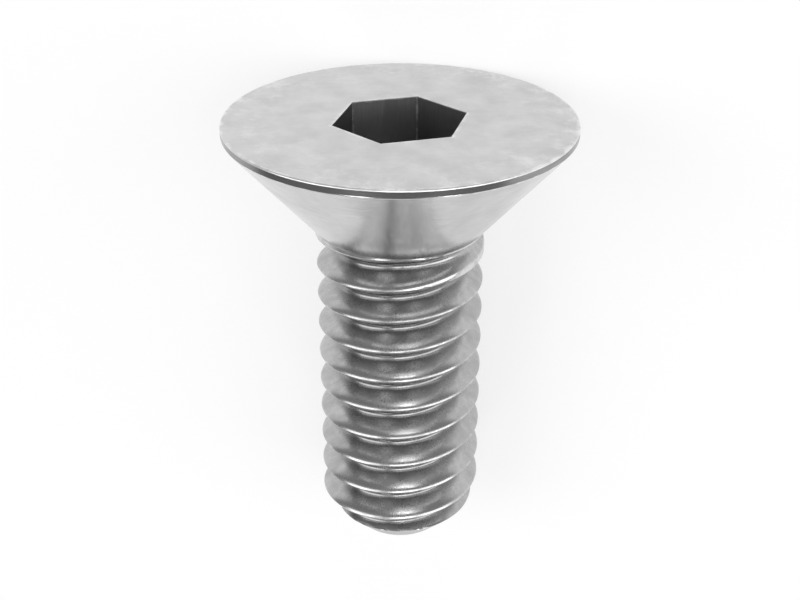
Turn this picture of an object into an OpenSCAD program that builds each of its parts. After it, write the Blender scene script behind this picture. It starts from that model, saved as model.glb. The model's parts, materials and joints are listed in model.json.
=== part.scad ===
// Hexagon socket countersunk screw, one solid, in millimetres.
// It lies as a loose screw comes to rest: the edge of the head and the crests at the tip touch the surface.
// The origin is the centre of the head's top face, and +Z is up.

/* [Thread] */
// Outer diameter of the thread, over its crests
thread_d = 6.35; // [5:0.05:8]
// Distance from one turn of the thread to the next
thread_pitch = 1.27; // [0.8:0.01:1.5]
// Width of the flat left on each crest
crest_flat = 0.16; // [0.08:0.01:0.24]
// Radius in the root of the thread
root_r = 0.18; // [0.1:0.01:0.2]
// Angle between the two flanks of a thread groove
flank_angle = 60; // [55:1:60]
// How far round the shank the groove takes to reach its full depth below the head, in turns
run_out_turns = 0.36; // [0.2:0.02:0.36]

/* [Length] */
// Overall length, from the top face of the head to the tip
screw_length = 17.35; // [12:0.05:50]
// Diameter of the flat end at the tip
tip_d = 3.7; // [2.5:0.1:4.5]
// Angle between the bevel at the tip and the screw's axis
tip_bevel_angle = 45; // [30:1:60]

/* [Head] */
// Largest diameter of the head
head_d = 12.9; // [11:0.05:14]
// Full angle of the countersunk cone
head_angle = 82; // [78:1:100]
// Height of the straight rim round the top of the head
rim_h = 0.3; // [0.15:0.05:0.8]
// Width of the small bevel round the top face
edge_bevel = 0.04; // [0.02:0.01:0.12]

/* [Socket] */
// Width across the flats of the hexagon
socket_flats = 4.35; // [3:0.05:5]
// Depth of the hexagon, which is what the key engages
socket_depth = 2.8; // [1.5:0.1:3]
// Full angle of the drill point below the hexagon
drill_angle = 120; // [118:1:140]
// Turn of the hexagon's first corner about the screw's axis
socket_turn = 15; // [0:1:59]

/* [Rest] */
// Turn of the lying screw about its own axis, which puts a corner of the socket straight down
rest_turn = 15; // [-45:5:45]

/* [Hidden] */

// Steps round a full turn of the thread and along the arc of its root
turn_steps = 36;
root_steps = 3;
// Steps round the head and shank
round_steps = 144;
// How far the groove's cutter stands out past the crests
cutter_margin = 0.05;

thread_r = thread_d / 2;
head_r = head_d / 2;
tip_r = tip_d / 2;
cone_h = (head_r - thread_r) / tan(head_angle / 2);
head_h = rim_h + cone_h;
tip_bevel_h = (thread_r - tip_r) / tan(tip_bevel_angle);
bevel_start_z = tip_bevel_h - screw_length;

// Groove: half its width at the crests, and its depth down to the rounded root
half_flank = flank_angle / 2;
groove_half_w = (thread_pitch - crest_flat) / 2;
groove_depth = groove_half_w / tan(half_flank) - root_r * (1 / sin(half_flank) - 1);

// Its root first passes the front of the screw half a pitch below the cone, at its full depth
first_root_turn = -90;
first_root_z = -head_h - thread_pitch / 2;
groove_start_turn = first_root_turn + 360 * run_out_turns;
groove_start_z = first_root_z + thread_pitch * run_out_turns;
groove_turns = (screw_length + groove_start_z) / thread_pitch;
groove_rings = ceil(groove_turns * turn_steps);

// Socket: radius at the hexagon's corners, which lie half of a sixth of a turn from the middles of its sides
half_sixth = 360 / 6 / 2;
socket_r = socket_flats / 2 / cos(half_sixth);
drill_h = socket_flats / 2 / tan(drill_angle / 2);
socket_mouth = 1;

// Rest: the lower edge of the rim and the start of the tip's bevel lie on one level
rest_tilt = atan((head_r - thread_r) / (-bevel_start_z - rim_h));

// Share of the full depth that the groove has after a number of turns
function groove_share(turns) = min(1, turns / run_out_turns);

// One section of the cutter at a radius for the middle of its root, as [radius, height] pairs
function groove_section(bottom_r) =
    let (
        arc_r = bottom_r + root_r,
        arc_end_r = arc_r - root_r * sin(half_flank),
        outer_r = max(thread_r, arc_end_r) + cutter_margin,
        apex_r = arc_r - root_r / sin(half_flank),
        outer_half_w = (outer_r - apex_r) * tan(half_flank),
        arc_span = 90 - half_flank
    )
    concat(
        [[outer_r, outer_half_w]],
        [
            for (i = [0:root_steps])
                let (a = arc_span - 2 * arc_span * i / root_steps)
                [arc_r - root_r * cos(a), root_r * sin(a)]
        ],
        [[outer_r, -outer_half_w]]
    );

// One ring of the cutter's points in space
function groove_ring(i) =
    let (
        turns = i / turn_steps,
        above_r = thread_r + cutter_margin,
        bottom_r = above_r - (groove_depth + cutter_margin) * groove_share(turns),
        a = groove_start_turn - 360 * turns,
        z = groove_start_z - thread_pitch * turns
    )
    [for (p = groove_section(bottom_r)) [p[0] * cos(a), p[0] * sin(a), z + p[1]]];

// Helical groove of a right-hand thread, as the solid that is cut away
module thread_groove() {
    ring_size = len(groove_section(thread_r));
    points = [for (i = [0:groove_rings]) each groove_ring(i)];
    sides = [
        for (i = [0:groove_rings - 1])
            for (j = [0:ring_size - 1])
                let (
                    k = (j + 1) % ring_size,
                    a = i * ring_size,
                    b = a + ring_size
                )
                each [[a + j, b + j, b + k], [a + j, b + k, a + k]]
    ];
    first_end = [[for (j = [0:ring_size - 1]) j]];
    last_end = [[for (j = [ring_size - 1:-1:0]) groove_rings * ring_size + j]];
    polyhedron(points = points, faces = concat(sides, first_end, last_end));
}

// Half section of the turned blank: top face, rim, cone, shank, bevel and tip
module blank_profile() {
    polygon([
        [0, 0],
        [head_r - edge_bevel, 0],
        [head_r, -edge_bevel],
        [head_r, -rim_h],
        [thread_r, -head_h],
        [thread_r, bevel_start_z],
        [tip_r, -screw_length],
        [0, -screw_length]
    ]);
}

// Hexagon socket with the point that the drill left below it
module hexagon_socket() {
    translate([0, 0, -socket_depth])
        rotate([0, 0, socket_turn])
            cylinder(h = socket_depth + socket_mouth, r = socket_r, $fn = 6);
    translate([0, 0, -socket_depth - drill_h])
        cylinder(h = drill_h, r1 = 0, r2 = socket_flats / 2, $fn = round_steps);
}

// The screw upright, with its axis on Z and its head up. The seam of its turned faces is level once it lies
module upright_screw() {
    difference() {
        rotate([0, 0, -rest_turn]) rotate_extrude($fn = round_steps) blank_profile();
        hexagon_socket();
        thread_groove();
    }
}

module screw() {
    color("silver")
        rotate([rest_tilt - 90, 0, 0])
            rotate([0, 0, rest_turn])
                upright_screw();
}

screw();
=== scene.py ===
"""Countersunk screw with a hexagon socket: its fine mesh, its steel finishes and the plain studio it lies in.

The screw's own frame is upright: its axis is Z, the centre of the head's top face is the origin and the tip
points down. The row's frame is that one laid on its side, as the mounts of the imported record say.
"""

import json
import logging
import math
from collections.abc import Callable, Sequence
from dataclasses import dataclass
from enum import Enum
from typing import ClassVar

import bmesh
import bpy
from mathutils import Matrix, Vector


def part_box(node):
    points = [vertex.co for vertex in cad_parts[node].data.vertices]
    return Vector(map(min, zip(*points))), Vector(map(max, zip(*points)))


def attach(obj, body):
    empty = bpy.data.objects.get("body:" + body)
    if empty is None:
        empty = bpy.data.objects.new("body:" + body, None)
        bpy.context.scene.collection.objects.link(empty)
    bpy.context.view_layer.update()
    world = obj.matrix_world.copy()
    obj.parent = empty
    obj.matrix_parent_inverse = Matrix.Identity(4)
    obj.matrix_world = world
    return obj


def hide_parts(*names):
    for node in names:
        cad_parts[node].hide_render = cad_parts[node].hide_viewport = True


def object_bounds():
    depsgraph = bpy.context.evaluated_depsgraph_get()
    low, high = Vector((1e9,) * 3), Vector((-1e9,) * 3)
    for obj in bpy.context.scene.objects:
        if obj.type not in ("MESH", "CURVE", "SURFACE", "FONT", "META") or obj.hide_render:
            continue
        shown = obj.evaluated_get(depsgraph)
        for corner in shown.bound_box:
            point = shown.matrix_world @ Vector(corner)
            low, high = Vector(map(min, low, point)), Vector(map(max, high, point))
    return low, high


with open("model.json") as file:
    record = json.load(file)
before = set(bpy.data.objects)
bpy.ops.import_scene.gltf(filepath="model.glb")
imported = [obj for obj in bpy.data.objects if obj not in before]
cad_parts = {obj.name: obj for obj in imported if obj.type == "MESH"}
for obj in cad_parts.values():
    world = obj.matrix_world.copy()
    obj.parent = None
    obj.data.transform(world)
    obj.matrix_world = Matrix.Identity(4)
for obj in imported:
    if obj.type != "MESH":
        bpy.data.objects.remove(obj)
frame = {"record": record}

LOG = logging.getLogger("countersunk_screw")
CAD_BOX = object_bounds()
NODE = "screw"
MM = 0.001
MERGE_DISTANCE = 0.002 * MM
SHARP_ANGLE = math.radians(35)
STEPS_PER_TURN = 192
HEXAGON_STEP = math.radians(60)

Point = tuple[float, float, float]
RingRadius = Callable[[float], float]
Shares = tuple[float, ...]
Socket = bpy.types.NodeSocket
Sockets = bpy.types.bpy_prop_collection


class Zone(Enum):
    """The areas of the screw, each with its own finish."""

    FACE = "head_face"
    SOCKET = "socket_wall"
    RIM = "straight_rim"
    CONE = "countersunk_cone"
    THREAD = "thread"
    TIP = "cut_tip"


class MarkPath(Enum):
    """The way that the fine tool marks of a finish run."""

    AROUND = "round the screw's axis"
    ALONG = "along the screw's axis"
    ACROSS = "straight across the head"


def mount(name: str) -> dict:
    """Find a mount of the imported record.

    Args:
        name: The mount's name.

    Returns:
        The mount as the record holds it.
    """
    return next(m for m in frame["record"]["mounts"] if m["name"] == name)


def lay_down() -> Matrix:
    """Turn from the screw's upright frame to the row's frame.

    Returns:
        A rotation whose Z column is the axis of the socket's mount, and whose X column points to the
        face's mount.
    """
    axis = Vector(mount("hexagon_socket")["axis"]).normalized()
    side = Vector(mount("head_face")["pos_m"]).normalized()
    return Matrix((side, axis.cross(side), axis)).transposed().to_4x4()


@dataclass(frozen=True)
class ScrewSizes:
    """Sizes in metres and radians, in the screw's own frame."""

    head_radius: float
    thread_radius: float
    thread_length: float
    pitch: float = 1.27 * MM
    crest_flat: float = 0.16 * MM
    root_radius: float = 0.18 * MM
    half_flank: float = math.radians(30)
    run_out_turns: float = 0.36
    cutter_margin: float = 0.05 * MM
    tip_radius: float = 1.85 * MM
    tip_bevel: float = math.radians(45)
    half_cone: float = math.radians(41)
    rim_height: float = 0.3 * MM
    across_flats: float = 4.35 * MM
    socket_depth: float = 2.8 * MM
    half_drill: float = math.radians(60)
    socket_turn: float = math.radians(15)

    @classmethod
    def from_frame(cls) -> "ScrewSizes":
        """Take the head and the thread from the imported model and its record.

        Returns:
            The screw's sizes.
        """
        low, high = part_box(NODE)
        thread = mount("thread")["dims"]
        return cls(
            head_radius=(high[0] - low[0]) / 2,
            thread_radius=thread["r_mm"] * MM,
            thread_length=thread["length_mm"] * MM,
        )

    @property
    def neck_z(self) -> float:
        """Height at which the cone ends and the thread begins."""
        return -self.rim_height - (self.head_radius - self.thread_radius) / math.tan(self.half_cone)

    @property
    def tip_z(self) -> float:
        """Height of the flat end."""
        return self.neck_z - self.thread_length

    @property
    def apex_radius(self) -> float:
        """Radius at which a groove's two flanks would meet without the rounding in its root."""
        return self.thread_radius - (self.pitch - self.crest_flat) / 2 / math.tan(self.half_flank)

    @property
    def groove_depth(self) -> float:
        """Depth of the groove from the crests to its rounded root."""
        return self.thread_radius - self.apex_radius - self.root_radius * (1 / math.sin(self.half_flank) - 1)

    def hexagon(self, angle: float) -> float:
        """Give the socket's radius in one direction.

        Args:
            angle: Direction about the screw's axis.

        Returns:
            The distance from the axis to the hexagon's side.
        """
        from_flat = (angle - self.socket_turn) % HEXAGON_STEP - HEXAGON_STEP / 2
        return self.across_flats / 2 / math.cos(from_flat)


@dataclass(frozen=True)
class Layers:
    """The finer layers of a noise pattern: how many it has, and how strong they are."""

    detail: float
    roughness: float


class Board:
    """Adds nodes to one node tree and links them."""

    def __init__(self, tree: bpy.types.NodeTree) -> None:
        """Start on an empty tree.

        Args:
            tree: The tree to fill.
        """
        self.tree = tree
        tree.nodes.clear()

    def feed(self, target: Socket, value: object) -> None:
        """Link a socket to an input, or set the input to a plain value.

        Args:
            target: The input.
            value: A socket to link from, or the value to set.
        """
        if isinstance(value, Socket):
            self.tree.links.new(value, target)
        else:
            target.default_value = value

    def add(self, kind: str, inputs: dict | None = None, **settings: object) -> bpy.types.Node:
        """Add a node.

        Args:
            kind: The node's type name.
            inputs: Values or sockets by the input's name or number.
            **settings: The node's own settings.

        Returns:
            The new node.
        """
        node = self.tree.nodes.new(kind)
        for name, value in settings.items():
            setattr(node, name, value)
        for key, value in (inputs or {}).items():
            self.feed(node.inputs[key], value)
        return node

    def maths(self, operation: str, *values: object) -> Socket:
        """Add a Math node.

        Args:
            operation: The node's operation.
            *values: Sockets or numbers, in order.

        Returns:
            The result's socket.
        """
        return self.add("ShaderNodeMath", dict(enumerate(values)), operation=operation).outputs[0]

    def vector(self, operation: str, *values: object) -> Socket:
        """Add a Vector Math node.

        Args:
            operation: The node's operation.
            *values: Sockets or vectors, in order.

        Returns:
            The socket of the result, which is the number where the operation gives one.
        """
        node = self.add("ShaderNodeVectorMath", dict(enumerate(values)), operation=operation)
        return node.outputs["Value" if operation in ("LENGTH", "DOT_PRODUCT") else "Vector"]

    def mix(self, share: object, first: object, second: object) -> Socket:
        """Add a Mix node for two numbers.

        Args:
            share: How much of the second number the result has.
            first: The number at a share of 0.
            second: The number at a share of 1.

        Returns:
            The result's socket.
        """
        inputs = {"Factor": share, "A": first, "B": second}
        return self.add("ShaderNodeMix", inputs, data_type="FLOAT").outputs["Result"]

    def ramp(
        self, value: object, low: object, high: object, start: object = 0.0, end: object = 1.0
    ) -> Socket:
        """Add a Map Range node that eases in and out.

        Args:
            value: What to map.
            low: The value that gives start.
            high: The value that gives end.
            start: The least result.
            end: The greatest result.

        Returns:
            The result's socket.
        """
        inputs = {"Value": value, "From Min": low, "From Max": high, "To Min": start, "To Max": end}
        return self.add("ShaderNodeMapRange", inputs, interpolation_type="SMOOTHSTEP").outputs["Result"]

    def noise(self, place: Socket, scale: object, layers: Layers) -> Socket:
        """Add a Noise Texture node.

        Args:
            place: Where the pattern is read.
            scale: The pattern's scale.
            layers: Its finer layers.

        Returns:
            The pattern's value.
        """
        inputs = {"Vector": place, "Scale": scale, "Detail": layers.detail, "Roughness": layers.roughness}
        return self.add("ShaderNodeTexNoise", inputs).outputs[0]


@dataclass(frozen=True)
class ThreadedShank:
    """The threaded shank from the cone to the tip, as one helical surface."""

    sizes: ScrewSizes
    material: bpy.types.Material
    rows_per_pitch: int = 32
    front_quarter: float = 0.25
    crest_rounding: float = 0.42 * MM
    neck_fade: float = 0.25 * MM
    bevel_rounding: float = 0.08 * MM

    def inputs(self) -> dict[str, tuple[str, object]]:
        """Name the tree's inputs.

        Returns:
            Each input's socket type and its value, by its name.
        """
        s = self.sizes
        rows = math.ceil((s.thread_length / s.pitch + 1) * self.rows_per_pitch)
        return {
            "Crest Radius": ("NodeSocketFloat", s.thread_radius),
            "Pitch": ("NodeSocketFloat", s.pitch),
            "Apex Radius": ("NodeSocketFloat", s.apex_radius),
            "Root Radius": ("NodeSocketFloat", s.root_radius),
            "Half Flank Angle": ("NodeSocketFloat", s.half_flank),
            "Groove Lift": ("NodeSocketFloat", s.groove_depth + s.cutter_margin),
            "Run Out Turns": ("NodeSocketFloat", s.run_out_turns),
            "Neck Height": ("NodeSocketFloat", s.neck_z),
            "Tip Height": ("NodeSocketFloat", s.tip_z),
            "Tip Radius": ("NodeSocketFloat", s.tip_radius),
            "Tip Bevel Angle": ("NodeSocketFloat", s.tip_bevel),
            "Crest Rounding": ("NodeSocketFloat", self.crest_rounding),
            "Neck Fade": ("NodeSocketFloat", self.neck_fade),
            "Bevel Rounding": ("NodeSocketFloat", self.bevel_rounding),
            "Steps": ("NodeSocketInt", STEPS_PER_TURN),
            "Rows": ("NodeSocketInt", rows),
            "Rows Per Pitch": ("NodeSocketInt", self.rows_per_pitch),
            "Merge Distance": ("NodeSocketFloat", MERGE_DISTANCE),
            "Material": ("NodeSocketMaterial", self.material),
        }

    def tree(self) -> bpy.types.NodeTree:
        """Build the tree that winds a grid into the threaded surface.

        Returns:
            The node group, with one named input for each size.
        """
        tree = bpy.data.node_groups.new("helical_thread", "GeometryNodeTree")
        tree.interface.new_socket("Geometry", in_out="OUTPUT", socket_type="NodeSocketGeometry")
        for name, (kind, _) in self.inputs().items():
            tree.interface.new_socket(name, in_out="INPUT", socket_type=kind)
        board = Board(tree)
        size = board.add("NodeGroupInput").outputs
        counts = {
            "Vertices X": board.maths("ADD", size["Steps"], 1),
            "Vertices Y": board.maths("ADD", size["Rows"], 1),
        }
        grid = board.add("GeometryNodeMeshGrid", counts)
        place = board.add("ShaderNodeSeparateXYZ", {0: board.add("GeometryNodeInputPosition").outputs[0]})
        # The grid is 1 wide each way about its middle, so half of that is added to count from its edges
        half = 0.5
        turn = board.maths("ADD", place.outputs["X"], half)
        down = board.maths("MULTIPLY", board.maths("ADD", place.outputs["Y"], half), size["Rows"])
        height = self.height(board, size, turn, down)
        groove = self.groove(board, size, turn, height)
        radius = self.turned(board, size, groove, height)
        angle = board.maths("MULTIPLY", turn, math.tau)
        parts = {
            "X": board.maths("MULTIPLY", radius, board.maths("COSINE", angle)),
            "Y": board.maths("MULTIPLY", radius, board.maths("SINE", angle)),
            "Z": height,
        }
        point = board.add("ShaderNodeCombineXYZ", parts)
        inputs = {"Geometry": grid.outputs["Mesh"], "Position": point.outputs[0]}
        wound = board.add("GeometryNodeSetPosition", inputs)
        inputs = {"Geometry": wound.outputs[0], "Distance": size["Merge Distance"]}
        merged = board.add("GeometryNodeMergeByDistance", inputs)
        real = board.add("GeometryNodeRealizeInstances", {"Geometry": merged.outputs[0]})
        inputs = {"Geometry": real.outputs[0], "Material": size["Material"]}
        dressed = board.add("GeometryNodeSetMaterial", inputs)
        board.add("NodeGroupOutput", {0: dressed.outputs[0]})
        return tree

    def height(self, board: Board, size: Sockets, turn: Socket, down: Socket) -> Socket:
        """Set each row on the helix, held between the neck and the tip.

        Args:
            board: The tree's board.
            size: The tree's inputs.
            turn: Share of a turn about the axis.
            down: Row number, counted from the neck.

        Returns:
            The height along the axis.
        """
        step = board.maths("DIVIDE", size["Pitch"], size["Rows Per Pitch"])
        start = board.maths("SUBTRACT", size["Neck Height"], board.maths("MULTIPLY", down, step))
        helix = board.maths("ADD", start, board.maths("MULTIPLY", turn, size["Pitch"]))
        return board.maths("MAXIMUM", board.maths("MINIMUM", helix, size["Neck Height"]), size["Tip Height"])

    def groove(self, board: Board, size: Sockets, turn: Socket, height: Socket) -> Socket:
        """Work out the radius of the groove's two flanks and rounded root, which rise out where it runs out.

        Args:
            board: The tree's board.
            size: The tree's inputs.
            turn: Share of a turn about the axis.
            height: Height along the axis.

        Returns:
            The groove's radius, which goes on past the crests.
        """
        first_root = board.maths("SUBTRACT", size["Neck Height"], board.maths("MULTIPLY", size["Pitch"], 0.5))
        quarter = board.maths("ADD", turn, self.front_quarter)
        pitches = board.maths("DIVIDE", board.maths("SUBTRACT", height, first_root), size["Pitch"])
        from_helix = board.maths("SUBTRACT", pitches, quarter)
        nearest = board.maths("ROUND", from_helix)
        aside = board.maths("ABSOLUTE", board.maths("SUBTRACT", from_helix, nearest))
        aside = board.maths("MULTIPLY", aside, size["Pitch"])

        flank = board.maths("DIVIDE", aside, board.maths("TANGENT", size["Half Flank Angle"]))
        flank = board.maths("ADD", flank, size["Apex Radius"])
        sine = board.maths("SINE", size["Half Flank Angle"])
        arc_middle = board.maths("ADD", size["Apex Radius"], board.maths("DIVIDE", size["Root Radius"], sine))
        root_squared = board.maths("POWER", size["Root Radius"], 2)
        inside = board.maths("SUBTRACT", root_squared, board.maths("POWER", aside, 2))
        arc = board.maths("SUBTRACT", arc_middle, board.maths("SQRT", board.maths("MAXIMUM", inside, 0)))
        cosine = board.maths("COSINE", size["Half Flank Angle"])
        arc_end = board.maths("MULTIPLY", size["Root Radius"], cosine)
        profile = board.mix(board.maths("LESS_THAN", aside, arc_end), flank, arc)

        passed = board.maths("SUBTRACT", size["Run Out Turns"], board.maths("ADD", nearest, quarter))
        share = board.maths("DIVIDE", passed, size["Run Out Turns"])
        share = board.maths("MAXIMUM", board.maths("MINIMUM", share, 1), 0)
        lift = board.maths("MULTIPLY", board.maths("SUBTRACT", 1, share), size["Groove Lift"])
        return board.maths("ADD", profile, lift)

    def turned(self, board: Board, size: Sockets, groove: Socket, height: Socket) -> Socket:
        """Cut the groove and the tip's bevel into the shank, with edges that are rounded away from the neck.

        Args:
            board: The tree's board.
            size: The tree's inputs.
            groove: The groove's radius.
            height: Height along the axis.

        Returns:
            The radius of the finished surface.
        """
        below_neck = board.maths("SUBTRACT", size["Neck Height"], height)
        fade = board.maths("MINIMUM", board.maths("DIVIDE", below_neck, size["Neck Fade"]), 1)
        rounding = board.maths("MULTIPLY", size["Crest Rounding"], fade)
        threaded = board.maths("SMOOTH_MIN", groove, size["Crest Radius"], rounding)
        above_tip = board.maths("SUBTRACT", height, size["Tip Height"])
        bevel = board.maths("MULTIPLY", above_tip, board.maths("TANGENT", size["Tip Bevel Angle"]))
        bevel = board.maths("ADD", bevel, size["Tip Radius"])
        return board.maths("SMOOTH_MIN", threaded, bevel, size["Bevel Rounding"])

    def mesh(self) -> bpy.types.Mesh:
        """Wind the thread and take it as a plain mesh.

        Returns:
            The open surface from the neck to the edge of the tip, in the screw's own frame.
        """
        holder = bpy.data.objects.new("thread_holder", bpy.data.meshes.new("thread_holder"))
        bpy.context.scene.collection.objects.link(holder)
        modifier = holder.modifiers.new("thread", "NODES")
        modifier.node_group = self.tree()
        values = self.inputs()
        for item in modifier.node_group.interface.items_tree:
            if item.in_out == "INPUT":
                modifier[item.identifier] = values[item.name][1]
        evaluated = holder.evaluated_get(bpy.context.evaluated_depsgraph_get())
        mesh = bpy.data.meshes.new_from_object(evaluated)
        holder.modifiers.remove(modifier)
        bpy.data.objects.remove(holder)
        return mesh


@dataclass(frozen=True)
class Ring:
    """One ring of a turned surface: its height, its radius, and the zone of the band that ends at it."""

    height: float
    radius: float | RingRadius
    zone: Zone

    def point(self, angle: float) -> Point:
        """Give the ring's point in one direction.

        Args:
            angle: Direction about the axis.

        Returns:
            The point in the screw's own frame.
        """
        r = self.radius(angle) if callable(self.radius) else self.radius
        return (r * math.cos(angle), r * math.sin(angle), self.height)


@dataclass(frozen=True)
class HeadAndTip:
    """The head with its hexagon socket, and the flat end at the tip, as rings about the axis."""

    sizes: ScrewSizes
    drill_shares: Shares = (1.0, 0.5, 0.0)
    wall_shares: Shares = (1.0, 0.98, 0.66, 0.33, 0.02)
    face_shares: Shares = (0.0, 0.005, 0.03, 0.3, 0.6, 0.9, 0.995, 1.0)
    tip_shares: Shares = (1.0, 0.98, 0.5, 0.0)
    cone_rows: int = 10
    edge_steps: int = 4
    edge_rounding: float = 0.07 * MM
    mouth_bevel: float = 0.02 * MM
    rim_edge: float = 0.02 * MM

    def socket_rings(self) -> list[Ring]:
        """List the socket's rings.

        Returns:
            The rings, from the drill point up to the mouth.
        """
        s = self.sizes
        drill_radius = s.across_flats / 2
        drill_height = drill_radius / math.tan(s.half_drill)
        point = [
            Ring(-s.socket_depth - drill_height * share, drill_radius * (1 - share), Zone.SOCKET)
            for share in self.drill_shares
        ]
        walls = [Ring(-s.socket_depth * share, s.hexagon, Zone.SOCKET) for share in self.wall_shares]
        return [*point, *walls, Ring(-self.mouth_bevel, s.hexagon, Zone.SOCKET)]

    def face_rings(self) -> list[Ring]:
        """List the rings of the top face, which pass from the hexagon to the round edge."""
        return [Ring(0.0, self.face_radius(share), Zone.FACE) for share in self.face_shares]

    def face_radius(self, share: float) -> RingRadius:
        """Give the shape of a ring on the top face.

        Args:
            share: How far out the ring lies from the socket's mouth to the edge.

        Returns:
            The ring's radius as a function of direction.
        """
        s = self.sizes
        outer = s.head_radius - self.edge_rounding

        def radius(angle: float) -> float:
            """Give the ring's radius in one direction."""
            inner = s.hexagon(angle) + self.mouth_bevel
            return inner + (outer - inner) * share

        return radius

    def rim_rings(self) -> list[Ring]:
        """List the rings of the rim.

        Returns:
            The rings, from the rounded upper edge down to a narrow bevel.
        """
        s = self.sizes
        rounded = []
        for step in range(1, self.edge_steps + 1):
            a = math.pi / 2 * step / self.edge_steps
            inset = self.edge_rounding * (1 - math.sin(a))
            rounded.append(Ring(-self.edge_rounding * (1 - math.cos(a)), s.head_radius - inset, Zone.FACE))
        upper = Ring(-self.edge_rounding - self.rim_edge, s.head_radius, Zone.RIM)
        lower = [Ring(-s.rim_height + self.rim_edge * k, s.head_radius, Zone.RIM) for k in (2, 1)]
        return [*rounded, upper, *lower]

    def cone_rings(self) -> list[Ring]:
        """List the cone's rings.

        Returns:
            The rings, from the rim down to the thread.
        """
        s = self.sizes
        start = -s.rim_height - self.rim_edge
        heights = [start, start - self.rim_edge]
        heights += [start + (s.neck_z - start) * row / self.cone_rows for row in range(1, self.cone_rows + 1)]
        return [Ring(z, s.thread_radius + (z - s.neck_z) * math.tan(s.half_cone), Zone.CONE) for z in heights]

    def tip_rings(self) -> list[Ring]:
        """List the rings of the flat end, from its edge to its middle."""
        s = self.sizes
        return [Ring(s.tip_z, s.tip_radius * share, Zone.TIP) for share in self.tip_shares]

    def turn(self, target: bmesh.types.BMesh, rings: Sequence[Ring], zones: Sequence[Zone]) -> None:
        """Add a turned surface.

        Args:
            target: The mesh to add to.
            rings: The surface's rings in order.
            zones: The zone of each material index.
        """
        angles = [math.tau * i / STEPS_PER_TURN for i in range(STEPS_PER_TURN)]
        rows = [[target.verts.new(ring.point(angle)) for angle in angles] for ring in rings]
        for ring, upper, lower in zip(rings[1:], rows[:-1], rows[1:], strict=True):
            for i in range(STEPS_PER_TURN):
                k = (i + 1) % STEPS_PER_TURN
                band = target.faces.new((upper[i], upper[k], lower[k], lower[i]))
                band.material_index = zones.index(ring.zone)

    def add_to(self, target: bmesh.types.BMesh, zones: Sequence[Zone]) -> None:
        """Add the head and the flat end.

        Args:
            target: The mesh to add to.
            zones: The zone of each material index.
        """
        head = [*self.socket_rings(), *self.face_rings(), *self.rim_rings(), *self.cone_rings()]
        self.turn(target, head, zones)
        self.turn(target, self.tip_rings(), zones)


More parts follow.
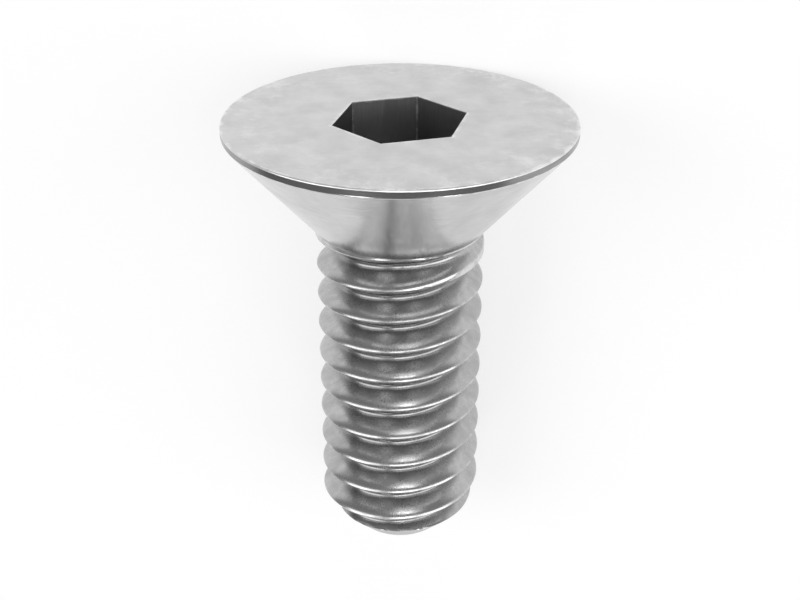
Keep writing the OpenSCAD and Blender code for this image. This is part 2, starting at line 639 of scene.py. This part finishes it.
class SteelGroups:
    """The shader groups that the screw's finishes share. They measure in millimetres in the upright frame."""

    PATCH_LAYERS = Layers(6.0, 0.6)
    MARK_LAYERS = Layers(3.0, 0.6)
    GRAIN_LAYERS = Layers(2.0, 0.5)
    SHADE_RANGE = (0.3, 0.7)
    WEAR_AND_HIGHLIGHT_LAYERS = Layers(4.0, 0.65)
    WEAR_AND_HIGHLIGHT_SCALE = 1.7
    WEAR_AND_HIGHLIGHT_RANGE = (0.35, 0.65)
    LEAST_WEAR_AND_HIGHLIGHT = 0.25

    def __init__(self, laid: Matrix) -> None:
        """Build the groups.

        Args:
            laid: Turn from the upright frame to the row's frame.
        """
        self.place = self.build_place(laid)
        self.grain = self.build_grain()
        self.wear = self.build_wear_and_highlight()

    @staticmethod
    def new(name: str, inputs: Sequence[tuple[str, str]], outputs: Sequence[tuple[str, str]]) -> Board:
        """Start a shader group.

        Args:
            name: The group's name.
            inputs: Name and kind of each input.
            outputs: Name and kind of each output.

        Returns:
            A board on the group's tree.
        """
        tree = bpy.data.node_groups.new(name, "ShaderNodeTree")
        for way, sockets in (("INPUT", inputs), ("OUTPUT", outputs)):
            for label, kind in sockets:
                tree.interface.new_socket(label, in_out=way, socket_type=f"NodeSocket{kind}")
        return Board(tree)

    def build_place(self, laid: Matrix) -> bpy.types.NodeTree:
        """Build the group that says where on the screw a point is.

        Args:
            laid: Turn from the upright frame to the row's frame.

        Returns:
            The group: the upright place, a place that changes slowly round the axis, radius and height.
        """
        outputs = [("Upright", "Vector"), ("Around", "Vector"), ("Radius", "Float"), ("Height", "Float")]
        board = self.new("place_on_screw", [("Vector", "Vector"), ("Sweep", "Float")], outputs)
        given = board.add("NodeGroupInput").outputs
        turn = laid.inverted().to_euler()
        inputs = {"Vector": given["Vector"], "Rotation": turn, "Scale": (1 / MM,) * 3}
        upright = board.add("ShaderNodeMapping", inputs).outputs[0]
        flat = board.vector("MULTIPLY", upright, (1, 1, 0))
        radius = board.vector("LENGTH", flat)
        height = board.add("ShaderNodeSeparateXYZ", {0: upright}).outputs["Z"]
        inputs = {0: board.vector("NORMALIZE", flat), "Scale": given["Sweep"]}
        swept = board.add("ShaderNodeVectorMath", inputs, operation="SCALE")
        along = board.add("ShaderNodeCombineXYZ", {"Z": board.maths("ADD", radius, height)}).outputs[0]
        around = board.vector("ADD", swept.outputs[0], along)
        results = {"Upright": upright, "Around": around, "Radius": radius, "Height": height}
        board.add("NodeGroupOutput", results)
        return board.tree

    def build_grain(self) -> bpy.types.NodeTree:
        """Build the group for worked steel: cloudy patches, fine tool marks and grain.

        Returns:
            The group, with a shade from 0 to 1 and a height from 0 to 1.
        """
        inputs = [
            ("Vector", "Vector"),
            ("Mark Vector", "Vector"),
            ("Patch Scale", "Float"),
            ("Mark Scale", "Float"),
            ("Grain Scale", "Float"),
            ("Mark Share", "Float"),
        ]
        board = self.new("worked_steel", inputs, [("Shade", "Float"), ("Height", "Float")])
        given = board.add("NodeGroupInput").outputs
        patches = board.noise(given["Vector"], given["Patch Scale"], self.PATCH_LAYERS)
        marks = board.noise(given["Mark Vector"], given["Mark Scale"], self.MARK_LAYERS)
        grain = board.noise(given["Vector"], given["Grain Scale"], self.GRAIN_LAYERS)
        shade = board.ramp(board.mix(given["Mark Share"], patches, marks), *self.SHADE_RANGE)
        height = board.mix(given["Mark Share"], grain, marks)
        board.add("NodeGroupOutput", {"Shade": shade, "Height": height})
        return board.tree

    def build_wear_and_highlight(self) -> bpy.types.NodeTree:
        """Build the group for wear that follows an edge unevenly, which also paints the socket's corner
        highlights.

        Returns:
            The group, with a mask that is highest on the edge and 0 past the width.
        """
        inputs = [("Vector", "Vector"), ("Distance", "Float"), ("Width", "Float")]
        board = self.new("edge_wear_and_highlight", inputs, [("Mask", "Float")])
        given = board.add("NodeGroupInput").outputs
        pattern = board.noise(given["Vector"], self.WEAR_AND_HIGHLIGHT_SCALE, self.WEAR_AND_HIGHLIGHT_LAYERS)
        uneven = board.ramp(pattern, *self.WEAR_AND_HIGHLIGHT_RANGE, self.LEAST_WEAR_AND_HIGHLIGHT)
        reach = board.maths("MULTIPLY", given["Width"], uneven)
        near = board.ramp(given["Distance"], 0.0, reach, 1.0, 0.0)
        board.add("NodeGroupOutput", {"Mask": board.maths("MULTIPLY", near, uneven)})
        return board.tree


@dataclass(frozen=True)
class SteelFinish:
    """One finish of the screw's steel. Colours are shares of white, and lengths are in millimetres.

    The sweep says how quickly marks that run round the axis change, and the mark stretch how long straight
    marks are drawn out.
    """

    zone: Zone
    dark: float
    light: float
    # The worn tone is real wear on edges, and a painted highlight in the socket's corners.
    worn: float
    # The second tone: real marks on some finishes, painted shade on others.
    mark_and_shade_tone: float
    smooth: float
    rough: float
    path: MarkPath
    patch_scale: float
    mark_scale: float
    grain_scale: float
    mark_share: float
    bump_depth: float
    wear_and_highlight_width: float
    sweep: float = 0.9
    mark_stretch: float = 0.06

    def mark_vector(self, board: Board, place: bpy.types.Node) -> Socket:
        """Stretch the tool marks along the way that they run.

        Args:
            board: The material's board.
            place: The node that says where on the screw a point is.

        Returns:
            The place that the marks are read at.
        """
        scales = {
            MarkPath.ALONG: (1.0, 1.0, self.mark_stretch),
            MarkPath.ACROSS: (self.mark_stretch, 1.0, 1.0),
        }
        if self.path in scales:
            return board.vector("MULTIPLY", place.outputs["Upright"], scales[self.path])
        return place.outputs["Around"]

    def edge(self, board: Board, place: bpy.types.Node, sizes: ScrewSizes) -> Socket:
        """Measure the distance to the nearest edge that wears; in the socket's corners the edge takes a
        painted highlight instead.

        Args:
            board: The material's board.
            place: The node that says where on the screw a point is.
            sizes: The screw's sizes.

        Returns:
            The distance.
        """
        raise NotImplementedError

    def mark_and_shade_mask(self, board: Board, place: bpy.types.Node, sizes: ScrewSizes) -> Socket:
        """Mask the places that take the second tone: real marks on some finishes, painted shade on others.

        Args:
            board: The material's board.
            place: The node that says where on the screw a point is.
            sizes: The screw's sizes.

        Returns:
            The mask, which is 1 where the second tone is whole.
        """
        raise NotImplementedError

    def material(self, groups: SteelGroups, sizes: ScrewSizes) -> bpy.types.Material:
        """Build the material.

        Args:
            groups: The shared shader groups.
            sizes: The screw's sizes.

        Returns:
            The material.
        """
        material = bpy.data.materials.new(self.zone.value)
        material.use_nodes = True
        board = Board(material.node_tree)
        point = board.add("ShaderNodeTexCoord").outputs["Object"]
        place = board.add("ShaderNodeGroup", {"Vector": point, "Sweep": self.sweep}, node_tree=groups.place)
        inputs = {
            "Vector": place.outputs["Upright"],
            "Mark Vector": self.mark_vector(board, place),
            "Patch Scale": self.patch_scale,
            "Mark Scale": self.mark_scale,
            "Grain Scale": self.grain_scale,
            "Mark Share": self.mark_share,
        }
        worked = board.add("ShaderNodeGroup", inputs, node_tree=groups.grain)
        inputs = {
            "Vector": place.outputs["Upright"],
            "Distance": self.edge(board, place, sizes),
            "Width": self.wear_and_highlight_width,
        }
        wear = board.add("ShaderNodeGroup", inputs, node_tree=groups.wear)
        shade, mask = worked.outputs["Shade"], wear.outputs["Mask"]

        tone = board.mix(shade, self.dark, self.light)
        # The second tone is real frost, stains and a tool mark on some finishes, and painted shade in the
        # socket, the cone's corner and the thread's roots.
        tone = board.mix(self.mark_and_shade_mask(board, place, sizes), tone, self.mark_and_shade_tone)
        # Worn edges are real wear, except in the socket's corners, where this paints a highlight.
        tone = board.mix(mask, tone, self.worn)
        colour = board.add("ShaderNodeCombineColor", {0: tone, 1: tone, 2: tone}).outputs[0]
        roughness = board.mix(shade, self.rough, self.smooth)
        roughness = board.mix(mask, roughness, self.smooth)
        inputs = {"Distance": self.bump_depth * MM, "Height": worked.outputs["Height"]}
        normal = board.add("ShaderNodeBump", inputs).outputs[0]
        surface = {"Base Color": colour, "Metallic": 1.0, "Roughness": roughness, "Normal": normal}
        shader = board.add("ShaderNodeBsdfPrincipled", surface)
        board.add("ShaderNodeOutputMaterial", {"Surface": shader.outputs[0]})
        return material


class HeadFaceFinish(SteelFinish):
    """The top face: clean and light, with faint clouds, frosted patches near its edge, and worn edges."""

    SIDE_PAIRS: ClassVar[int] = 3
    FROST_FROM: ClassVar[float] = 3.4
    FROST_SCALE: ClassVar[float] = 0.9
    FROST_LAYERS: ClassVar[Layers] = Layers(8.0, 0.75)
    FROST_RANGE: ClassVar[Shares] = (0.47, 0.70)
    FROST_SHARES: ClassVar[Shares] = (0.1, 0.9)

    def beyond_mouth(self, board: Board, place: bpy.types.Node, sizes: ScrewSizes) -> Socket:
        """Measure how far a point lies outside the hexagon's sides.

        Args:
            board: The material's board.
            place: The node that says where on the screw a point is.
            sizes: The screw's sizes.

        Returns:
            The distance, which is negative inside the hexagon.
        """
        reach = 0.0
        for pair in range(self.SIDE_PAIRS):
            a = sizes.socket_turn + HEXAGON_STEP * (pair + 0.5)
            off = board.vector("DOT_PRODUCT", place.outputs["Upright"], (math.cos(a), math.sin(a), 0))
            reach = board.maths("MAXIMUM", reach, board.maths("ABSOLUTE", off))
        return board.maths("SUBTRACT", reach, sizes.across_flats / 2 / MM)

    def edge(self, board: Board, place: bpy.types.Node, sizes: ScrewSizes) -> Socket:
        """Measure the distance to the round edge or to the socket's mouth, whichever is nearer."""
        to_rim = board.maths("SUBTRACT", sizes.head_radius / MM, place.outputs["Radius"])
        return board.maths("MINIMUM", to_rim, self.beyond_mouth(board, place, sizes))

    def mark_and_shade_mask(self, board: Board, place: bpy.types.Node, sizes: ScrewSizes) -> Socket:
        """Mask the frosted patches that are left of the blasted finish, most of them near the round edge.

        Args:
            board: The material's board.
            place: The node that says where on the screw a point is.
            sizes: The screw's sizes.

        Returns:
            The mask, which is highest in the middle of a patch.
        """
        pattern = board.noise(place.outputs["Upright"], self.FROST_SCALE, self.FROST_LAYERS)
        frost = board.ramp(pattern, *self.FROST_RANGE)
        edge_radius = sizes.head_radius / MM
        outer = board.ramp(place.outputs["Radius"], self.FROST_FROM, edge_radius, *self.FROST_SHARES)
        return board.maths("MULTIPLY", frost, outer)


class SocketFinish(SteelFinish):
    """The pressed socket: painted darker than the face as shade in the recess, and evener towards its floor;
    worn along its mouth, with painted highlights along its corners.
    """

    def edge(self, board: Board, place: bpy.types.Node, sizes: ScrewSizes) -> Socket:
        """Measure the distance to the worn mouth or to the nearest corner between two walls, whose light line
        is a painted highlight.

        Args:
            board: The material's board.
            place: The node that says where on the screw a point is.
            sizes: The screw's sizes.

        Returns:
            The distance.
        """
        apothem = sizes.across_flats / 2 / MM
        half_side = apothem * math.tan(HEXAGON_STEP / 2)
        below = board.maths("MULTIPLY", place.outputs["Height"], -1)
        past_flat = board.maths("SUBTRACT", board.maths("POWER", place.outputs["Radius"], 2), apothem**2)
        along = board.maths("SQRT", board.maths("MAXIMUM", past_flat, 0))
        # The corners get a painted highlight through the edge mask.
        to_corner = board.maths("SUBTRACT", half_side, along)
        return board.maths("MAXIMUM", board.maths("MINIMUM", below, to_corner), 0)

    def mark_and_shade_mask(self, board: Board, place: bpy.types.Node, sizes: ScrewSizes) -> Socket:
        """Mask the walls by depth, towards one even tone of painted shade at the floor."""
        return board.ramp(place.outputs["Height"], -sizes.socket_depth / MM, 0.0, 1.0, 0.0)


class RimFinish(SteelFinish):
    """The straight rim: a narrow turned band, darker than the face and worn at both of its edges."""

    STAIN_SCALE: ClassVar[float] = 0.6
    STAIN_LAYERS: ClassVar[Layers] = Layers(2.0, 0.5)
    STAIN_RANGE: ClassVar[Shares] = (0.5, 0.75)
    STAIN_SHARES: ClassVar[Shares] = (0.0, 0.5)

    def edge(self, board: Board, place: bpy.types.Node, sizes: ScrewSizes) -> Socket:
        """Measure the distance from the nearer of the rim's two edges.

        Args:
            board: The material's board.
            place: The node that says where on the screw a point is.
            sizes: The screw's sizes.

        Returns:
            The distance.
        """
        below = board.maths("MULTIPLY", place.outputs["Height"], -1)
        above = board.maths("ADD", place.outputs["Height"], sizes.rim_height / MM)
        return board.maths("MAXIMUM", board.maths("MINIMUM", below, above), 0)

    def mark_and_shade_mask(self, board: Board, place: bpy.types.Node, sizes: ScrewSizes) -> Socket:
        """Mask the faint stains round the rim."""
        pattern = board.noise(place.outputs["Upright"], self.STAIN_SCALE, self.STAIN_LAYERS)
        return board.ramp(pattern, *self.STAIN_RANGE, *self.STAIN_SHARES)


class ConeFinish(SteelFinish):
    """The cone: turned, with a worn edge at the rim, and painted shade in the corner at the thread."""

    # Width of the painted shade in the corner at the thread, in millimetres.
    CORNER_SHADE_WIDTH: ClassVar[float] = 0.5

    def edge(self, board: Board, place: bpy.types.Node, sizes: ScrewSizes) -> Socket:
        """Measure the distance from the rim's lower edge."""
        below = board.maths("ADD", place.outputs["Height"], sizes.rim_height / MM)
        return board.maths("ABSOLUTE", below)

    def mark_and_shade_mask(self, board: Board, place: bpy.types.Node, sizes: ScrewSizes) -> Socket:
        """Mask the painted shade in the corner where the cone meets the thread."""
        neck = sizes.neck_z / MM
        return board.ramp(place.outputs["Height"], neck, neck + self.CORNER_SHADE_WIDTH, 1.0, 0.0)


class ThreadFinish(SteelFinish):
    """The thread: bright where its crests wear, and darkened in its roots by painted shade."""

    # Width of the painted shade in the roots, in millimetres.
    ROOT_SHADE_REACH: ClassVar[float] = 0.35

    def edge(self, board: Board, place: bpy.types.Node, sizes: ScrewSizes) -> Socket:
        """Measure the depth below the crests."""
        return board.maths("SUBTRACT", sizes.thread_radius / MM, place.outputs["Radius"])

    def mark_and_shade_mask(self, board: Board, place: bpy.types.Node, sizes: ScrewSizes) -> Socket:
        """Mask the painted shade in the roots."""
        root = (sizes.thread_radius - sizes.groove_depth) / MM
        return board.ramp(place.outputs["Radius"], root, root + self.ROOT_SHADE_REACH, 1.0, 0.0)


class TipFinish(SteelFinish):
    """The flat end: faced off, with rings from the tool and a worn edge."""

    MIDDLE_MARK: ClassVar[Shares] = (0.1, 0.3)

    def edge(self, board: Board, place: bpy.types.Node, sizes: ScrewSizes) -> Socket:
        """Measure the distance to the end's edge."""
        return board.maths("SUBTRACT", sizes.tip_radius / MM, place.outputs["Radius"])

    def mark_and_shade_mask(self, board: Board, place: bpy.types.Node, sizes: ScrewSizes) -> Socket:
        """Mask the small mark in the middle that facing leaves."""
        return board.ramp(place.outputs["Radius"], *self.MIDDLE_MARK, 1.0, 0.0)


FINISHES = (
    HeadFaceFinish(
        zone=Zone.FACE,
        dark=0.61,
        light=0.68,
        worn=0.86,
        mark_and_shade_tone=0.82,
        smooth=0.34,
        rough=0.46,
        path=MarkPath.ACROSS,
        patch_scale=0.8,
        mark_scale=9.0,
        grain_scale=11.0,
        mark_share=0.15,
        bump_depth=0.004,
        wear_and_highlight_width=0.22,
    ),
    SocketFinish(
        zone=Zone.SOCKET,
        # The socket's tones, about half the face's, are painted shade of the recess.
        dark=0.28,
        light=0.38,
        # Along the mouth this is wear; along the corners it is a painted highlight.
        worn=0.9,
        # At the floor the socket takes this one even tone of painted shade.
        mark_and_shade_tone=0.32,
        smooth=0.32,
        rough=0.42,
        path=MarkPath.ALONG,
        patch_scale=0.9,
        mark_scale=7.0,
        grain_scale=12.0,
        mark_share=0.5,
        bump_depth=0.003,
        wear_and_highlight_width=0.10,
    ),
    RimFinish(
        zone=Zone.RIM,
        dark=0.27,
        light=0.34,
        worn=0.7,
        mark_and_shade_tone=0.24,
        smooth=0.2,
        rough=0.26,
        path=MarkPath.AROUND,
        patch_scale=0.8,
        mark_scale=6.0,
        grain_scale=10.0,
        mark_share=0.5,
        bump_depth=0.003,
        wear_and_highlight_width=0.05,
    ),
    ConeFinish(
        zone=Zone.CONE,
        dark=0.50,
        light=0.60,
        worn=0.8,
        # The cone's second tone is painted shade in the corner at the thread.
        mark_and_shade_tone=0.30,
        smooth=0.14,
        rough=0.22,
        path=MarkPath.AROUND,
        patch_scale=0.8,
        mark_scale=6.0,
        grain_scale=10.0,
        mark_share=0.3,
        bump_depth=0.003,
        wear_and_highlight_width=0.06,
    ),
    ThreadFinish(
        zone=Zone.THREAD,
        dark=0.42,
        light=0.52,
        worn=0.70,
        # The thread's second tone is painted shade in its roots.
        mark_and_shade_tone=0.30,
        smooth=0.22,
        rough=0.32,
        path=MarkPath.AROUND,
        patch_scale=0.9,
        mark_scale=7.0,
        grain_scale=10.0,
        mark_share=0.7,
        bump_depth=0.0015,
        wear_and_highlight_width=0.08,
    ),
    TipFinish(
        zone=Zone.TIP,
        dark=0.45,
        light=0.6,
        worn=0.7,
        mark_and_shade_tone=0.35,
        smooth=0.3,
        rough=0.42,
        path=MarkPath.AROUND,
        patch_scale=0.9,
        mark_scale=8.0,
        grain_scale=10.0,
        mark_share=0.7,
        bump_depth=0.006,
        wear_and_highlight_width=0.12,
    ),
)


@dataclass(frozen=True)
class Screw:
    """The whole screw as one closed piece."""

    sizes: ScrewSizes
    laid: Matrix
    finishes: tuple[SteelFinish, ...] = FINISHES
    name: str = "countersunk_screw"

    def mesh(self) -> bpy.types.Mesh:
        """Join the thread, the head and the tip into one closed mesh in the row's frame.

        Returns:
            The mesh, with a material for each zone.
        """
        groups = SteelGroups(self.laid)
        zones = [finish.zone for finish in self.finishes]
        materials = [finish.material(groups, self.sizes) for finish in self.finishes]
        thread_index = zones.index(Zone.THREAD)
        thread = ThreadedShank(self.sizes, materials[thread_index]).mesh()
        solid = bmesh.new()
        solid.from_mesh(thread)
        for face in solid.faces:
            face.material_index = thread_index
        HeadAndTip(self.sizes).add_to(solid, zones)
        bmesh.ops.remove_doubles(solid, verts=solid.verts, dist=MERGE_DISTANCE)
        bmesh.ops.recalc_face_normals(solid, faces=solid.faces)
        LOG.info("open edges: %d", sum(not edge.is_manifold for edge in solid.edges))
        mesh = bpy.data.meshes.new(self.name)
        solid.to_mesh(mesh)
        solid.free()
        mesh.transform(self.laid)
        mesh.shade_smooth()
        mesh.set_sharp_from_angle(angle=SHARP_ANGLE)
        for material in materials:
            mesh.materials.append(material)
        return mesh

    def build(self) -> bpy.types.Object:
        """Build the piece, which stands for the CAD node.

        Returns:
            The finished object.
        """
        piece = bpy.data.objects.new(self.name, self.mesh())
        bpy.context.scene.collection.objects.link(piece)
        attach(piece, "root")
        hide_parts(NODE)
        return piece


@dataclass(frozen=True)
class PhotoCamera:
    """The photograph's view of the screw, in its upright frame and in head radii."""

    lens_mm: float = 58.24
    sensor_mm: float = 36.0
    place: Point = (0.0, -6.829, 2.527)
    target: Point = (0.0, 0.0, -1.1465)
    nearest: float = 2 * MM

    def build(self, sizes: ScrewSizes, laid: Matrix) -> None:
        """Build the camera and make it the scene's.

        Args:
            sizes: The screw's sizes.
            laid: Turn from the upright frame to the row's frame.
        """
        data = bpy.data.cameras.new("photo_camera")
        data.lens = self.lens_mm
        data.sensor_width = self.sensor_mm
        data.clip_start = self.nearest
        eye = Vector(self.place) * sizes.head_radius
        back = (eye - Vector(self.target) * sizes.head_radius).normalized()
        right = Vector((0, 0, 1)).cross(back).normalized()
        turn = Matrix((right, back.cross(right), back)).transposed().to_4x4()
        camera = bpy.data.objects.new("photo_camera", data)
        camera.matrix_world = laid @ Matrix.Translation(eye) @ turn
        bpy.context.scene.collection.objects.link(camera)
        bpy.context.scene.camera = camera


@dataclass(frozen=True)
class Softbox:
    """A lamp with a plain pale front, in the screw's own frame. At a level of 1 its front looks white."""

    name: str
    toward: Point
    width: float
    height: float
    level: float
    distance: float = 0.35

    def build(self, centre: Vector, laid: Matrix) -> None:
        """Hang the softbox so that it faces the screw.

        Args:
            centre: The point that it faces.
            laid: Turn from the upright frame to the row's frame.
        """
        data = bpy.data.lights.new(self.name, "AREA")
        data.shape = "RECTANGLE"
        data.size, data.size_y = self.width, self.height
        data.energy = self.level * math.pi * self.width * self.height
        away = (laid @ Vector(self.toward)).normalized()
        lamp = bpy.data.objects.new(self.name, data)
        lamp.location = centre + away * self.distance
        lamp.rotation_euler = away.to_track_quat("Z", "Y").to_euler()
        lamp.visible_camera = False
        bpy.context.scene.collection.objects.link(lamp)


@dataclass(frozen=True)
class Studio:
    """A plain pale floor, soft lamps and a dim plain surround."""

    floor_half_width: float = 3.0
    floor_tone: float = 0.97
    floor_matt: float = 0.9
    floor_lift: float = 0.65
    surround: float = 0.27
    softboxes: tuple[Softbox, ...] = (
        Softbox("overhead", toward=(0.05, -0.97, 0.22), width=0.17, height=0.23, level=3.2),
        Softbox("head_side", toward=(0.0, -0.40, 0.92), width=0.12, height=0.06, level=4.0),
        Softbox("left_side", toward=(-0.8, -0.55, 0.2), width=0.22, height=0.30, level=2.1),
        Softbox("right_side", toward=(0.8, -0.7, 0.2), width=0.22, height=0.30, level=2.1),
        Softbox("tip_left", toward=(-0.37, -0.66, -0.66), width=0.07, height=0.14, level=4.5),
        Softbox("tip_right", toward=(0.40, -0.64, -0.66), width=0.06, height=0.14, level=4.5),
    )

    def floor_material(self) -> bpy.types.Material:
        """Build the floor's finish: pale and matt, and nearer white where it is seen or mirrored.

        Returns:
            The material.
        """
        material = bpy.data.materials.new("pale_floor")
        material.use_nodes = True
        board = Board(material.node_tree)
        path = board.add("ShaderNodeLightPath").outputs
        seen = board.maths("MAXIMUM", path["Is Camera Ray"], path["Is Glossy Ray"])
        seen = board.maths("MAXIMUM", seen, path["Is Transmission Ray"])
        tone = (self.floor_tone,) * 3 + (1,)
        surface = {"Base Color": tone, "Roughness": self.floor_matt, "Specular IOR Level": 0.0}
        matt = board.add("ShaderNodeBsdfPrincipled", surface)
        white = board.add("ShaderNodeEmission", {"Strength": 1.0})
        share = board.maths("MULTIPLY", seen, self.floor_lift)
        mixed = board.add("ShaderNodeMixShader", {0: share, 1: matt.outputs[0], 2: white.outputs[0]})
        board.add("ShaderNodeOutputMaterial", {"Surface": mixed.outputs[0]})
        return material

    def floor(self, level: float) -> None:
        """Lay the floor.

        Args:
            level: The floor's height.
        """
        w = self.floor_half_width
        corners = [(-w, -w, level), (w, -w, level), (w, w, level), (-w, w, level)]
        mesh = bpy.data.meshes.new("floor")
        mesh.from_pydata(corners, [], [(0, 1, 2, 3)])
        mesh.materials.append(self.floor_material())
        floor = bpy.data.objects.new("floor", mesh)
        bpy.context.scene.collection.objects.link(floor)

    def build(self, laid: Matrix) -> None:
        """Set up the floor, the lamps and the surround.

        Args:
            laid: Turn from the upright frame to the row's frame.
        """
        low, high = CAD_BOX
        self.floor(low[2])
        centre = (Vector(low) + Vector(high)) / 2
        for softbox in self.softboxes:
            softbox.build(centre, laid)
        world = bpy.data.worlds.new("studio")
        world.use_nodes = True
        background = world.node_tree.nodes["Background"]
        background.inputs["Color"].default_value = (self.surround,) * 3 + (1,)
        background.inputs["Strength"].default_value = 1.0
        bpy.context.scene.world = world


def main() -> None:
    """Build the camera, the screw and the studio."""
    logging.basicConfig(level=logging.INFO, format="%(name)s: %(message)s")
    bpy.context.scene.view_settings.view_transform = "Standard"
    sizes = ScrewSizes.from_frame()
    laid = lay_down()
    PhotoCamera().build(sizes, laid)
    piece = Screw(sizes, laid).build()
    LOG.info("%s: %d faces", piece.name, len(piece.data.polygons))
    Studio().build(laid)


if __name__ == "__main__":
    main()
